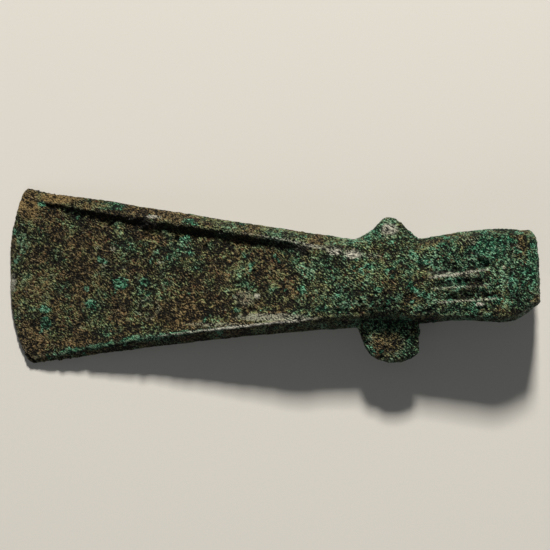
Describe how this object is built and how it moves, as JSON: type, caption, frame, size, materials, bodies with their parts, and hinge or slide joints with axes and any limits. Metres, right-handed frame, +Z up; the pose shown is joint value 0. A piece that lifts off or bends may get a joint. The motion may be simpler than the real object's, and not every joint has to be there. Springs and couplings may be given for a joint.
{
  "type": "bronze axe head",
  "caption": "Cast bronze axe head with a flared flanged blade, a rounded neck with a lug on each side and a ribbed butt, patinated and worn.",
  "frame": {"origin": "bottom centre of the bounding box, on the surface the axe head lies on", "axes": "+X from the cutting edge to the butt, +Y across towards the pointed lug, +Z up from the surface; the head lies on its underside"},
  "size_m": [0.1798, 0.0604, 0.0251],
  "materials": {
    "patinated_bronze": "rough green and brown patina, burial-worn"
  },
  "bodies": {
    "root": {"axe_head": "patinated_bronze"}
  },
  "joints": []
}
